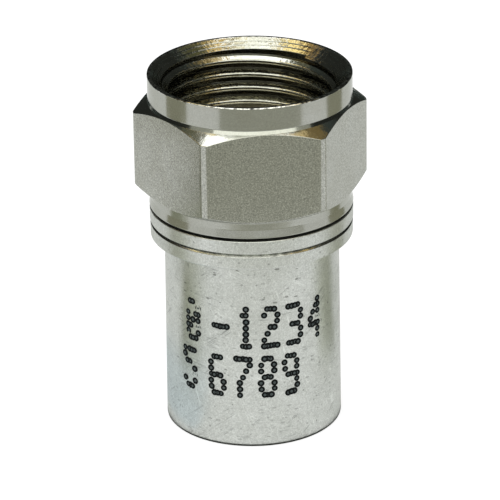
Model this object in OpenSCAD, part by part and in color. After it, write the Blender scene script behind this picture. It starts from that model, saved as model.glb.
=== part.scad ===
// F connector, crimp type, for 6-series coaxial cable.
// It stands on the open rear end of its crimp sleeve, at z = 0, with the nut's mouth upwards.
// The pieces from the rear: crimp sleeve, hub with its ring, post inside both, nut seal, coupling nut.

/* [Coupling nut] */
// Width of the hexagon across its flats
nut_flats = 11.11; // [10.8:0.01:12]
// Depth turned off the hexagon's six sharp corners
corner_cut = 0.095; // [0.02:0.005:0.2]
// Length of the hexagon's corners between its two chamfers
hex_corner_len = 4.10; // [2.5:0.05:7]
// Slope of both chamfers, from a plane square to the axis
chamfer_deg = 30; // [15:1:40]
// Length of the round collar at the mouth
collar_len = 1.29; // [0.8:0.01:2.5]
// Depth of the tool groove under the collar
neck_depth = 0.21; // [0.05:0.01:0.25]
// Width of that tool groove at its floor
neck_w = 0.08; // [0.05:0.01:0.3]
// Wall of the skirt round the seal pocket
skirt_wall = 1.03; // [0.8:0.01:1.2]
// Length of the skirt, from the nut's rear face to the rear chamfer
skirt_len = 0.84; // [0.5:0.01:1.6]
// How much smaller in radius the skirt is where it meets the rear chamfer
skirt_waist = 0.08; // [0.02:0.01:0.2]
// Length of the skirt's flare towards its rear edge
skirt_flare_len = 0.45; // [0.1:0.01:0.45]

/* [Thread bore] */
// Diameter of the thread bore at the roots of its thread
thread_bore_d = 9.53; // [9.4:0.01:9.8]
// How far the countersink at the mouth is wider than the thread bore, all round
mouth_flare = 0.55; // [0.3:0.005:0.7]
// Depth of the countersink
mouth_depth = 0.50; // [0.2:0.01:0.9]
// Width of the flat rim round the mouth
rim_w = 0.20; // [0.12:0.01:0.4]
// Depth of the undercut behind the thread
undercut_depth = 0.185; // [0.1:0.005:0.3]
// Length of that undercut
undercut_len = 0.90; // [0.5:0.01:1.1]
// Length of the cone between the thread bore and the undercut
undercut_run = 0.12; // [0.05:0.01:0.25]
// Thickness of the lip that holds the nut on
lip_t = 1.10; // [0.7:0.01:1.6]

/* [Post] */
// Diameter of the hole through the post, for the cable's inner insulation
post_bore_d = 4.80; // [4.6:0.01:4.9]
// Wall of the tail that goes under the cable's braid
post_wall = 0.35; // [0.28:0.01:0.45]
// Height of the step between the tail and the shoulder that is pressed into the hub
shoulder_step = 0.25; // [0.1:0.01:0.4]
// Thickness of the flange that holds the nut on
post_flange_t = 0.95; // [0.6:0.01:1.3]
// Room round that flange inside the thread bore
flange_room = 0.50; // [0.45:0.01:0.8]
// How far the tail ends inside the sleeve's rear edge
post_recess = 0.80; // [0.2:0.05:2]
// Number of teeth round the tail's rear end
barb_count = 5; // [2:1:8]
// Length of one tooth
barb_pitch = 0.62; // [0.4:0.01:0.8]
// Depth of the teeth
barb_depth = 0.13; // [0.05:0.01:0.16]

/* [Hub] */
// Diameter of the hub's ring
hub_ring_d = 11.06; // [10.7:0.01:11.4]
// Thickness of the hub's ring
hub_ring_t = 0.82; // [0.6:0.01:1.2]
// Wall of the front spigot that passes through the nut's lip
spigot_wall = 0.42; // [0.3:0.01:0.6]
// Length of the rear spigot that is pressed into the crimp sleeve
hub_tail_len = 2.60; // [1.5:0.05:4]
// Depth of the lead-in cone at the rear of the hub's hole
hub_lead = 0.35; // [0.1:0.01:0.5]

/* [Crimp sleeve] */
// Length of the crimp sleeve, from its rear edge to its front face
sleeve_len = 11.65; // [9:0.05:16]
// Diameter of the hole through the sleeve
sleeve_bore_d = 8.20; // [8:0.01:8.4]
// Wall of the barrel just behind its head
barrel_wall = 0.65; // [0.55:0.01:0.8]
// How much thicker the wall is at the rear edge
barrel_flare = 0.075; // [0:0.005:0.15]
// Diameter of the head at the front of the sleeve
head_d = 11.02; // [10.7:0.01:11.4]
// Length of the head
head_len = 0.82; // [0.5:0.01:1.5]
// Radius of the rounded rear edge
rear_edge_r = 0.16; // [0.05:0.01:0.2]
// Width of the bevel inside the rear edge
rear_bevel = 0.18; // [0.05:0.01:0.25]

/* [Nut seal] */
// Diameter of the seal ring's round section
seal_section_d = 0.92; // [0.8:0.01:1]
// Room between the seal and the nut, in front and all round
seal_room = 0.14; // [0.1:0.01:0.2]

/* [Fits] */
// Radial gap between the pressed pieces
press_gap = 0.01; // [0.005:0.005:0.02]
// Radial running gap between the nut's lip and the hub
spin_gap = 0.07; // [0.03:0.01:0.1]
// Gap between the nut's rear face and the hub's ring
nut_gap = 0.18; // [0.12:0.01:0.3]
// Play between the nut's lip and the post's flange
lip_play = 0.10; // [0.06:0.01:0.3]
// Gap between the seal and what it lies on
seal_gap = 0.02; // [0.01:0.01:0.03]
// Width of the bevels that form the groove between the hub and the sleeve
joint_bevel = 0.11; // [0.05:0.01:0.2]
// Width of the small bevel on the other turned edges
edge_bevel = 0.05; // [0.02:0.01:0.08]

/* [Hidden] */
$fn = 96;

hex_sides = 6;
cut_margin = 1;   // how far a cutting profile runs past the faces that it opens
core_overlap = 0.25;   // how far the hexagon's ring reaches into the turned core
chamfer_slope = tan(chamfer_deg);

// Radii of the post, and from it those of the hub, the nut's lip and the seal pocket
post_bore_r = post_bore_d / 2;
post_tail_r = post_bore_r + post_wall;
post_shoulder_r = post_tail_r + shoulder_step;
hub_bore_r = post_shoulder_r + press_gap;
hub_spigot_r = hub_bore_r + spigot_wall;
lip_hole_r = hub_spigot_r + spin_gap;
seal_inner_r = hub_spigot_r + seal_gap;
pocket_r = seal_inner_r + seal_section_d + seal_room;

// Radii of the nut
thread_bore_r = thread_bore_d / 2;
undercut_r = thread_bore_r + undercut_depth;
mouth_r = thread_bore_r + mouth_flare;
collar_r = mouth_r + rim_w;
neck_r = collar_r - neck_depth;
skirt_r = pocket_r + skirt_wall;
waist_r = skirt_r - skirt_waist;
hex_sharp_r = nut_flats / 2 / cos(180 / hex_sides);
corner_r = hex_sharp_r - corner_cut;
post_flange_r = thread_bore_r - flange_room;

// Radii of the crimp sleeve and the hub's part inside it
sleeve_bore_r = sleeve_bore_d / 2;
barrel_front_r = sleeve_bore_r + barrel_wall;
barrel_rear_r = barrel_front_r + barrel_flare;
hub_tail_r = sleeve_bore_r - press_gap;

// Heights, from the sleeve's rear edge upwards
head_z = sleeve_len - head_len;
hub_end_z = sleeve_len - hub_tail_len;
hub_face_z = sleeve_len + hub_ring_t;
seal_z = hub_face_z + seal_gap;
nut_z = hub_face_z + nut_gap;
hex_low_z = nut_z + skirt_len + (corner_r - waist_r) * chamfer_slope;
hex_high_z = hex_low_z + hex_corner_len;
neck_z = hex_high_z + (corner_r - neck_r) * chamfer_slope;
collar_z = neck_z + neck_w;
nut_top_z = collar_z + collar_len;
lip_z = seal_z + seal_section_d + seal_room;
lip_top_z = lip_z + lip_t;
flange_z = lip_top_z + lip_play;
flange_top_z = flange_z + post_flange_t;

// Points of a rounded corner: centre, radius, first and last angle
function round_corner(r, z, radius, from, to, steps = 6) = [
    for (i = [0 : steps])
        let (a = from + (to - from) * i / steps)
            [r + radius * cos(a), z + radius * sin(a)]
];

// One tooth of the post's tail: a ramp that rises towards the front, a short land and a square step
function barb(z, root, crest) = [[root, z], [crest, z + barb_pitch * 0.75], [crest, z + barb_pitch]];

// A solid of revolution about the connector's axis, from points of radius and height
module turned(points) {
    rotate_extrude() polygon(points);
}

// Round core of the nut: skirt with its flared edge, waist, neck and collar
module nut_core() {
    turned([
        [0, nut_z],
        [skirt_r - edge_bevel, nut_z],
        [skirt_r, nut_z + edge_bevel],
        [waist_r, nut_z + skirt_flare_len],
        [waist_r, hex_low_z],
        [neck_r, hex_high_z],
        [neck_r, collar_z],
        [collar_r, collar_z],
        [collar_r, nut_top_z - edge_bevel],
        [collar_r - edge_bevel, nut_top_z],
        [0, nut_top_z]
    ]);
}

// Hexagon with turned corners and a chamfer at either end
module nut_hexagon() {
    low_r = waist_r - core_overlap;
    high_r = neck_r - core_overlap;
    intersection() {
        translate([0, 0, nut_z])
            cylinder(h = nut_top_z - nut_z, r = hex_sharp_r, $fn = hex_sides);
        turned([
            [low_r, hex_low_z - (corner_r - low_r) * chamfer_slope],
            [corner_r, hex_low_z],
            [corner_r, hex_high_z],
            [high_r, hex_high_z + (corner_r - high_r) * chamfer_slope]
        ]);
    }
}

// Space inside the nut: countersink, thread bore, undercut, hole through the lip and seal pocket
module nut_cavity() {
    turned([
        [0, nut_top_z + cut_margin],
        [mouth_r, nut_top_z + cut_margin],
        [mouth_r, nut_top_z],
        [thread_bore_r, nut_top_z - mouth_depth],
        [thread_bore_r, lip_top_z + undercut_len + undercut_run],
        [undercut_r, lip_top_z + undercut_len],
        [undercut_r, lip_top_z],
        [lip_hole_r, lip_top_z],
        [lip_hole_r, lip_z],
        [pocket_r, lip_z],
        [pocket_r, nut_z - cut_margin],
        [0, nut_z - cut_margin]
    ]);
}

module coupling_nut() {
    color([0.62, 0.61, 0.55])
    difference() {
        union() {
            nut_core();
            nut_hexagon();
        }
        nut_cavity();
    }
}

// Hub: front spigot through the nut's lip, outer ring, rear spigot in the crimp sleeve
module hub() {
    ring_r = hub_ring_d / 2;
    color([0.73, 0.73, 0.70])
    turned([
        [hub_bore_r + hub_lead, hub_end_z],
        [hub_tail_r - edge_bevel, hub_end_z],
        [hub_tail_r, hub_end_z + edge_bevel],
        [hub_tail_r, sleeve_len],
        [ring_r - joint_bevel, sleeve_len],
        [ring_r, sleeve_len + joint_bevel],
        [ring_r, hub_face_z - edge_bevel],
        [ring_r - edge_bevel, hub_face_z],
        [hub_spigot_r, hub_face_z],
        [hub_spigot_r, flange_z - edge_bevel],
        [hub_spigot_r - edge_bevel, flange_z],
        [hub_bore_r, flange_z],
        [hub_bore_r, hub_end_z + hub_lead]
    ]);
}

// Crimp sleeve: head, barrel that thickens slightly towards its rounded rear edge, hole right through
module crimp_sleeve() {
    head_r = head_d / 2;
    color([0.76, 0.77, 0.76])
    turned(concat(
        [[sleeve_bore_r + rear_bevel, 0]],
        round_corner(barrel_rear_r - rear_edge_r, rear_edge_r, rear_edge_r, -90, 0),
        [
            [barrel_front_r, head_z],
            [head_r - edge_bevel, head_z],
            [head_r, head_z + edge_bevel],
            [head_r, sleeve_len - joint_bevel],
            [head_r - joint_bevel, sleeve_len],
            [sleeve_bore_r, sleeve_len],
            [sleeve_bore_r, rear_bevel]
        ]
    ));
}

// Post: flange in front of the nut's lip, shoulder pressed into the hub, toothed tail inside the sleeve
module post() {
    root_r = post_tail_r - barb_depth;
    teeth_z = post_recess + edge_bevel;
    color([0.70, 0.68, 0.60])
    turned(concat(
        [[post_bore_r, post_recess], [root_r - edge_bevel, post_recess]],
        [for (i = [0 : barb_count - 1]) each barb(teeth_z + i * barb_pitch, root_r, post_tail_r)],
        [
            [post_tail_r, hub_end_z],
            [post_shoulder_r, hub_end_z + shoulder_step],
            [post_shoulder_r, flange_z],
            [post_flange_r - edge_bevel, flange_z],
            [post_flange_r, flange_z + edge_bevel],
            [post_flange_r, flange_top_z - edge_bevel],
            [post_flange_r - edge_bevel, flange_top_z],
            [post_bore_r + edge_bevel, flange_top_z],
            [post_bore_r, flange_top_z - edge_bevel]
        ]
    ));
}

// Seal ring round the hub's front spigot, in the pocket behind the nut's lip
module nut_seal() {
    section_r = seal_section_d / 2;
    color([0.16, 0.16, 0.16])
    rotate_extrude()
        translate([seal_inner_r + section_r, seal_z + section_r])
            circle(r = section_r);
}

crimp_sleeve();
hub();
post();
nut_seal();
coupling_nut();
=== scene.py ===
"""Looks of a crimp-type F connector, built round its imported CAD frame.

The connector stands on the open rear end of its crimp sleeve, with the nut's mouth upwards. Every
piece is made in metres in the frame's own axes. A turned piece is one closed ring of quads, swept
from a profile whose edges all have a small rounding, so the metal catches light along its edges.
"""
import logging
import math
from dataclasses import dataclass
from enum import Enum, IntEnum
from typing import Callable, ClassVar, Mapping, Sequence

import bmesh
import bpy
from mathutils import Matrix, Vector


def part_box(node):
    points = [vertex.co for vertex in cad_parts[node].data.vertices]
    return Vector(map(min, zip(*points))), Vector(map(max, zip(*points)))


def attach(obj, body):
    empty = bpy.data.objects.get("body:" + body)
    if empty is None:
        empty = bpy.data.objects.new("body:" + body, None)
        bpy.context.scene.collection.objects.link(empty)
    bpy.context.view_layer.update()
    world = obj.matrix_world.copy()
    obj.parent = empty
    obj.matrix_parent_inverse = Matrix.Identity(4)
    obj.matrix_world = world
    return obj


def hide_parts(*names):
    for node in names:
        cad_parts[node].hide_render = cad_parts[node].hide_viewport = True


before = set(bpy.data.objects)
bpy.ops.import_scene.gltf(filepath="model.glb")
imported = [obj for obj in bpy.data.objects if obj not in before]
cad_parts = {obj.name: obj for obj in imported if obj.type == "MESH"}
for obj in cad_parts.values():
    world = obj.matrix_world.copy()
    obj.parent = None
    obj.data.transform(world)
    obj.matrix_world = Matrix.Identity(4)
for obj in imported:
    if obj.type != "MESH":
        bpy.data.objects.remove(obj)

log = logging.getLogger("f_connector")

MM = 0.001
TAU = 2 * math.pi
HEX_SIDES = 6
CABLE_END = "cable_end"
NUT = "nut"

# How much a wall's normal rises at the most, and a level face's at the least, and the slack in
# millimetres when a face is told by its place.
UPRIGHT = 0.3
LEVEL = 0.95
SLACK = 0.002

# Rounding of a profile's corners: straight pieces in each, the most of an edge that one takes, and
# the distance to the line of points beside it, in millimetres and as a share of the edge.
ROUND_STEPS = 3
ROUND_SHARE = 0.40
GUARD = 0.02
GUARD_SHARE = 0.06

Point = tuple[float, float]
Colour = tuple[float, float, float]
Feeds = Mapping[str | int, object]
Piece = bpy.types.Object
Material = bpy.types.Material
Socket = bpy.types.NodeSocket


class Grain(Enum):
    """Direction of the fine lines that a cutting tool or a drawing die leaves in metal."""

    ALONG = "along the axis"
    AROUND = "around the axis"
    NONE = "no direction"


class Ray(Enum):
    """Kinds of ray that see the stage white, by their names on Light Path."""

    CAMERA = "Is Camera Ray"
    GLOSSY = "Is Glossy Ray"
    TRANSMISSION = "Is Transmission Ray"


class NutFace(IntEnum):
    """Kinds of face on the nut, in the order of its materials."""

    TURNED = 0
    DRAWN = 1
    CUT = 2
    EDGE = 3
    BORE_PAINTED_SHADE = 4
    CHAMFER = 5


@dataclass(frozen=True)
class Corner:
    """One corner of a turned profile, in millimetres of radius and height."""

    r: float
    z: float
    round: float = 0.03


def rounded_profile(corners: Sequence[Corner]) -> list[Point]:
    """Rounds each corner of a closed profile and adds a line of points beside each rounding.

    Args:
        corners: Corners in order along the closed profile.

    Returns:
        Points of radius and height in millimetres, as many for any profile of so many corners.
    """
    points: list[Point] = []
    for i, corner in enumerate(corners):
        before = corners[i - 1]
        after = corners[(i + 1) % len(corners)]
        here = Vector((corner.r, corner.z))
        to_before = Vector((before.r, before.z)) - here
        to_after = Vector((after.r, after.z)) - here
        reach_before = to_before.length
        reach_after = to_after.length
        to_before.normalize()
        to_after.normalize()
        tangent = corner.round / max(math.tan(to_before.angle(to_after) / 2), 1e-6)
        tangent = min(tangent, ROUND_SHARE * reach_before, ROUND_SHARE * reach_after)
        start = here + to_before * tangent
        end = here + to_after * tangent
        points.append(tuple(start + to_before * min(GUARD, GUARD_SHARE * reach_before)))
        for step in range(ROUND_STEPS + 1):
            t = step / ROUND_STEPS
            points.append(tuple(start * (1 - t) ** 2 + here * (2 * t * (1 - t)) + end * t**2))
        points.append(tuple(end + to_after * min(GUARD, GUARD_SHARE * reach_after)))
    return points


def ring_angles(count: int) -> list[float]:
    """Evenly spaced angles round the axis, in radians."""
    return [TAU * i / count for i in range(count)]


def new_piece(name: str, data: bpy.types.ID) -> Piece:
    """Makes an object at the origin and links it to the scene.

    Args:
        name: Name of the object.
        data: Its mesh, camera or light.

    Returns:
        The object.
    """
    piece = bpy.data.objects.new(name, data)
    bpy.context.scene.collection.objects.link(piece)
    return piece


def face_outwards(mesh: bpy.types.Mesh, weld: bool = False) -> None:
    """Turns all faces of a closed mesh outwards.

    Args:
        mesh: The mesh.
        weld: Whether corners at one place are joined first.
    """
    grown = bmesh.new()
    grown.from_mesh(mesh)
    if weld:
        bmesh.ops.remove_doubles(grown, verts=grown.verts, dist=1e-8)
    bmesh.ops.recalc_face_normals(grown, faces=grown.faces)
    if grown.calc_volume(signed=True) < 0:
        bmesh.ops.reverse_faces(grown, faces=grown.faces)
    grown.to_mesh(mesh)
    grown.free()


def swept_ring(name: str, angles: Sequence[float], profile_at: Callable[[float], list[Point]]) -> Piece:
    """Sweeps a closed profile round the axis into one closed mesh.

    Args:
        name: Name of the new object.
        angles: Angles of the mesh's columns, rising from 0 to less than a full turn.
        profile_at: Gives the profile's points for an angle, always the same number of them.

    Returns:
        The object, at the origin, with outward faces and smooth shading.
    """
    verts: list[tuple[float, float, float]] = []
    for angle in angles:
        for r, z in profile_at(angle):
            verts.append((r * math.cos(angle) * MM, r * math.sin(angle) * MM, z * MM))
    columns = len(angles)
    rows = len(verts) // columns
    faces = []
    for c in range(columns):
        d = (c + 1) % columns
        for k in range(rows):
            n = (k + 1) % rows
            faces.append((c * rows + k, d * rows + k, d * rows + n, c * rows + n))
    mesh = bpy.data.meshes.new(name)
    mesh.from_pydata(verts, [], faces)
    face_outwards(mesh)
    mesh.shade_smooth()
    return new_piece(name, mesh)


def turned(name: str, corners: Sequence[Corner], columns: int = 256) -> Piece:
    """Makes a turned piece from its profile, with so many columns round the axis."""
    points = rounded_profile(corners)
    return swept_ring(name, ring_angles(columns), lambda angle: points)


def dress(
    piece: Piece,
    materials: Sequence[Material],
    choose: Callable[[Vector, Vector], int] = lambda centre, normal: 0,
) -> None:
    """Gives a piece its materials.

    Args:
        piece: The piece.
        materials: Its materials, in the order of their slots.
        choose: Gives the slot for a face's centre in millimetres and its normal.
    """
    for material in materials:
        piece.data.materials.append(material)
    for polygon in piece.data.polygons:
        polygon.material_index = choose(polygon.center / MM, polygon.normal)


def read_box(node: str) -> tuple[Vector, Vector]:
    """Gives a CAD node's lowest and highest corners in millimetres."""
    low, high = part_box(node)
    return low / MM, high / MM


def scaled(colour: Colour, factor: float) -> Colour:
    """Makes a colour darker or paler by a factor."""
    return tuple(min(1.0, c * factor) for c in colour)


class NodeGraph:
    """Short way to add and join the nodes of one material, world or geometry tree."""

    def __init__(self, tree: bpy.types.NodeTree) -> None:
        """Keeps the tree that the nodes go into."""
        self.tree = tree

    def add(self, kind: str, feeds: Feeds | None = None, **settings: object) -> bpy.types.Node:
        """Adds a node.

        Args:
            kind: The node's type name.
            feeds: Output sockets and plain values for its inputs, by their names or numbers.
            **settings: Properties of the node to set.

        Returns:
            The new node.
        """
        node = self.tree.nodes.new(kind)
        for name, value in settings.items():
            setattr(node, name, value)
        for key, value in (feeds or {}).items():
            socket = node.inputs[key]
            if isinstance(value, Socket):
                self.tree.links.new(value, socket)
            elif socket.type == "RGBA":
                socket.default_value = (*value, 1.0)
            else:
                socket.default_value = value
        return node

    def math(self, operation: str, a: object, b: object = 0.0) -> Socket:
        """Works out an operation on one or two values or sockets."""
        return self.add("ShaderNodeMath", {0: a, 1: b}, operation=operation).outputs[0]

    def plus(self, a: object, b: object) -> Socket:
        """Adds two values or sockets."""
        return self.math("ADD", a, b)

    def minus(self, a: object, b: object) -> Socket:
        """Takes the second value or socket from the first."""
        return self.math("SUBTRACT", a, b)

    def times(self, a: object, b: object) -> Socket:
        """Multiplies two values or sockets."""
        return self.math("MULTIPLY", a, b)

    def hypot(self, x: Socket, y: Socket) -> Socket:
        """Gives the length of the vector with these two parts."""
        return self.math("SQRT", self.plus(self.times(x, x), self.times(y, y)))

    def vector(self, x: object, y: object, z: object) -> Socket:
        """Joins three values or sockets into a vector."""
        return self.add("ShaderNodeCombineXYZ", {0: x, 1: y, 2: z}).outputs[0]

    def parts(self, vector: Socket) -> tuple[Socket, Socket, Socket]:
        """Splits a vector into its three values."""
        return tuple(self.add("ShaderNodeSeparateXYZ", {0: vector}).outputs)

    def ramp(
        self, value: object, low: float, high: float, start: float = 0.0, end: float = 1.0
    ) -> Socket:
        """Maps a value smoothly from low and high to start and end, held at both ends."""
        feeds = {"Value": value, "From Min": low, "From Max": high, "To Min": start, "To Max": end}
        return self.add("ShaderNodeMapRange", feeds, interpolation_type="SMOOTHSTEP").outputs["Result"]

    def mix(self, factor: object, a: object, b: object) -> Socket:
        """Mixes two colours, with the factor as the share of the second."""
        return self.add("ShaderNodeMix", {0: factor, 6: a, 7: b}, data_type="RGBA").outputs[2]

    def noise(self, place: Socket, scale: float, detail: float = 3.0, rough: float = 0.55) -> Socket:
        """Adds a noise pattern of a scale per millimetre, with its finer layers."""
        feeds = {"Vector": place, "Scale": scale, "Detail": detail, "Roughness": rough}
        return self.add("ShaderNodeTexNoise", feeds).outputs["Fac"]

    def stretched(self, place: Socket, stretch: Colour, turn: Colour = (0.0, 0.0, 0.0)) -> Socket:
        """Stretches a place by a factor along each axis, and turns it by degrees about each."""
        feeds = {"Vector": place, "Rotation": tuple(map(math.radians, turn)), "Scale": stretch}
        return self.add("ShaderNodeMapping", feeds).outputs["Vector"]

    def bump(self, height: Socket, strength: float, distance: float) -> Socket:
        """Turns relief into a shader's normal, over a distance in metres."""
        feeds = {"Strength": strength, "Distance": distance, "Height": height}
        return self.add("ShaderNodeBump", feeds).outputs[0]


class MaterialGraph(NodeGraph):
    """The nodes of one new material."""

    def __init__(self, name: str) -> None:
        """Starts an empty material.

        Args:
            name: Name of the material.
        """
        self.material = bpy.data.materials.new(name)
        self.material.use_nodes = True
        self.material.node_tree.nodes.clear()
        super().__init__(self.material.node_tree)

    def close(self, kind: str, feeds: Feeds) -> Material:
        """Ends the nodes in a shader.

        Args:
            kind: The shader node's type name.
            feeds: Output sockets and plain values for the shader's inputs.

        Returns:
            The finished material.
        """
        shader = self.add(kind, feeds)
        self.add("ShaderNodeOutputMaterial", {"Surface": shader.outputs[0]})
        return self.material


class Place:
    """Places on a piece that the finishes read, all in millimetres of its own coordinates.

    The grain around the axis is drawn on a small cylinder, which rises a little with the radius so
    that level faces have rings too. The unrolled place is drawn at the barrel's own radius.
    """

    GRAIN_R: float = 0.9
    GRAIN_RISE: float = 0.8
    BARREL_R: float = 4.8

    def __init__(self, graph: NodeGraph) -> None:
        """Builds the sockets.

        Args:
            graph: The material's graph.
        """
        self.graph = graph
        self.flat = graph.stretched(graph.add("ShaderNodeTexCoord").outputs["Object"], (1 / MM,) * 3)
        x, y, self.z = graph.parts(self.flat)
        self.turn = graph.math("ARCTAN2", y, x)
        self.r = graph.hypot(x, y)
        across = graph.times(graph.math("COSINE", self.turn), self.GRAIN_R)
        deep = graph.times(graph.math("SINE", self.turn), self.GRAIN_R)
        rise = graph.plus(self.z, graph.times(self.r, self.GRAIN_RISE))
        self.around = graph.vector(across, deep, rise)

    def unrolled(self, depth: object) -> Socket:
        """Rolls the barrel's surface out flat, at a depth."""
        return self.graph.vector(self.graph.times(self.turn, self.BARREL_R), self.z, depth)


@dataclass
class Skin:
    """A metal surface while its marks are added one kind after the other."""

    graph: MaterialGraph
    place: Place
    colour: object
    height: Socket
    rough: Socket

    def tint(self, amount: Socket, colour: Colour) -> None:
        """Mixes in another colour by an amount."""
        self.colour = self.graph.mix(amount, self.colour, colour)

    def sink(self, depth: Socket) -> None:
        """Lowers the relief."""
        self.height = self.graph.minus(self.height, depth)


@dataclass(frozen=True)
class MetalFinish:
    """Plated brass: its colour, its gloss, and the marks that making and handling leave on it.

    Scales are per millimetre. The amount of each kind of mark is 0 where the metal has none.
    """

    name: str
    colour: Colour
    stain: Colour
    roughness: float
    grain: Grain
    grain_depth: float
    mottle: float
    grain_scale: float = 9.0
    mottle_scale: float = 0.55
    pits: float = 0.0
    specks: float = 0.0
    scratches: float = 0.0
    grit: float = 0.0
    chatter: float = 0.0
    chatter_scale: float = 3.2
    edge_tint: Colour = (0.78, 0.79, 0.77)
    relief: float = 0.006
    relief_strength: float = 0.35

    def material(self) -> Material:
        """Builds the finish.

        Returns:
            The material.
        """
        graph = MaterialGraph(self.name)
        place = Place(graph)
        lines = self._grain(graph, place)
        cloud = graph.noise(place.flat, self.mottle_scale, detail=4.0, rough=0.6)
        rough = graph.ramp(cloud, 0.3, 0.7, start=self.roughness * 0.85, end=self.roughness * 1.2)
        skin = Skin(graph, place, self.colour, graph.times(lines, self.grain_depth), rough)
        skin.tint(graph.times(graph.ramp(cloud, low=0.35, high=0.68), self.mottle), self.stain)
        shade = scaled(self.stain, 1 - 0.30 * self.grain_depth)
        skin.tint(graph.times(graph.ramp(lines, 0.25, 0.75), 0.55 * self.grain_depth), shade)
        for amount, add_marks in (
            (self.grit, self._add_grit),
            (self.chatter, self._add_chatter),
            (self.pits, self._add_pits),
            (self.specks, self._add_specks),
            (self.scratches, self._add_scratches),
        ):
            if amount > 0:
                add_marks(skin)
        feeds = {
            "Base Color": skin.colour,
            "Metallic": 1.0,
            "Roughness": skin.rough,
            "Specular Tint": self.edge_tint,
            "Normal": graph.bump(skin.height, self.relief_strength, self.relief * MM),
        }
        return graph.close("ShaderNodeBsdfPrincipled", feeds)

    def _grain(self, graph: NodeGraph, place: Place) -> Socket:
        """Fine lines of the grain, as a value about one half.

        Args:
            graph: The material's graph.
            place: Places on the piece.

        Returns:
            The lines' value socket.
        """
        if self.grain is Grain.NONE:
            return graph.noise(place.flat, self.grain_scale * 0.35, detail=5.0, rough=0.7)
        if self.grain is Grain.ALONG:
            drawn_out = graph.stretched(place.flat, (1.0, 1.0, 0.035))
        else:
            drawn_out = graph.stretched(place.around, (0.3, 0.3, 1.0))
        return graph.noise(drawn_out, self.grain_scale, rough=0.65)

    def _add_grit(self, skin: Skin) -> None:
        """Adds fine dark and bright grains with some relief.

        Args:
            skin: The surface so far.
        """
        graph = skin.graph
        fine = graph.noise(skin.place.flat, scale=13.0, detail=2.0, rough=0.8)
        for limit, tone in ((0.68, 0.55), (0.32, 1.45)):
            grains = graph.ramp(fine, low=0.50, high=limit)
            skin.tint(graph.times(grains, self.grit), scaled(self.colour, tone))
        skin.sink(graph.times(fine, 1.2 * self.grit))

    def _add_chatter(self, skin: Skin) -> None:
        """Adds the broad waves that a chattering tool leaves.

        Args:
            skin: The surface so far.
        """
        waves = skin.graph.noise(skin.place.flat, self.chatter_scale, rough=0.6)
        skin.height = skin.graph.plus(skin.height, skin.graph.times(waves, self.chatter))

    def _add_pits(self, skin: Skin) -> None:
        """Adds the fine pits and grains of dull plating.

        Args:
            skin: The surface so far.
        """
        graph = skin.graph
        fine = graph.noise(skin.place.flat, scale=9.0, detail=5.0, rough=0.72)
        dark = graph.ramp(fine, low=0.52, high=0.70)
        pale = graph.ramp(fine, low=0.46, high=0.34)
        skin.tint(graph.times(dark, 0.55 * self.pits), self.stain)
        skin.tint(graph.times(pale, 0.6 * self.pits), scaled(self.colour, 1.22))
        skin.sink(graph.times(dark, 1.6 * self.pits))
        skin.rough = graph.plus(skin.rough, graph.times(fine, 0.12 * self.pits))

    def _add_specks(self, skin: Skin) -> None:
        """Scatters dark specks: a layer of round ones, then one of long ones.

        Args:
            skin: The surface so far.
        """
        graph = skin.graph
        unrolled = skin.place.unrolled(skin.place.r)
        for stretch, scale, largest in (((1.0, 1.0, 1.0), 3.0, 0.21), ((0.40, 1.0, 1.0), 4.2, 0.25)):
            spot = graph.stretched(unrolled, stretch, (0.0, 0.0, 4.0))
            cells = graph.add("ShaderNodeTexVoronoi", {"Vector": spot, "Scale": scale}, feature="F1")
            draws = graph.add("ShaderNodeSeparateColor", {0: cells.outputs["Color"]}).outputs
            chosen = graph.ramp(draws[0], low=0.42, high=0.46)
            size = graph.ramp(draws[1], 0.0, 1.0, start=0.05, end=largest)
            depth = graph.ramp(draws[2], 0.0, 1.0, start=0.45)
            inside = graph.ramp(graph.minus(cells.outputs["Distance"], size), low=0.03, high=-0.03)
            amount = graph.times(graph.times(inside, chosen), self.specks)
            skin.tint(graph.times(amount, depth), scaled(self.stain, 0.42))

    def _add_scratches(self, skin: Skin) -> None:
        """Adds thin hair scratches in a few directions, bright and dark in turn.

        Args:
            skin: The surface so far.
        """
        graph = skin.graph
        unrolled = skin.place.unrolled(0.0)
        for index, (tilt, scale) in enumerate(((24.0, 1.1), (-38.0, 0.8), (71.0, 0.6), (4.0, 1.4))):
            tilted = graph.stretched(unrolled, (1.0, 1.0, 1.0), (0.0, 0.0, tilt))
            shift = (3.7 * index, 1.9 * index, 0.0)
            spot = graph.add("ShaderNodeVectorMath", {0: tilted, 1: shift}, operation="ADD").outputs[0]
            value = graph.noise(graph.stretched(spot, (0.22, 7.0, 1.0)), scale, detail=1.0, rough=0.4)
            line = graph.ramp(graph.math("ABSOLUTE", graph.minus(value, 0.5)), low=0.022, high=0.0)
            patch = graph.ramp(graph.noise(spot, scale=0.7, detail=2.0), low=0.52, high=0.62)
            amount = graph.times(graph.times(line, patch), self.scratches)
            skin.tint(amount, scaled(self.colour, 0.40 if index % 2 else 1.30))
            skin.sink(graph.times(amount, 0.5))


@dataclass(frozen=True)
class RubberFinish:
    """Black moulded rubber with a faint bloom."""

    name: str
    colour: Colour
    bloom: Colour
    roughness: float

    def material(self) -> Material:
        """Builds the finish.

        Returns:
            The material.
        """
        graph = MaterialGraph(self.name)
        place = Place(graph)
        cloud = graph.noise(place.flat, scale=3.0, detail=4.0)
        relief = graph.noise(place.flat, scale=12.0)
        feeds = {
            "Base Color": graph.mix(graph.ramp(cloud, 0.45, 0.75), self.colour, self.bloom),
            "Roughness": graph.ramp(cloud, 0.3, 0.7, start=self.roughness, end=self.roughness + 0.2),
            "Normal": graph.bump(relief, strength=0.2, distance=0.01 * MM),
        }
        return graph.close("ShaderNodeBsdfPrincipled", feeds)


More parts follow.
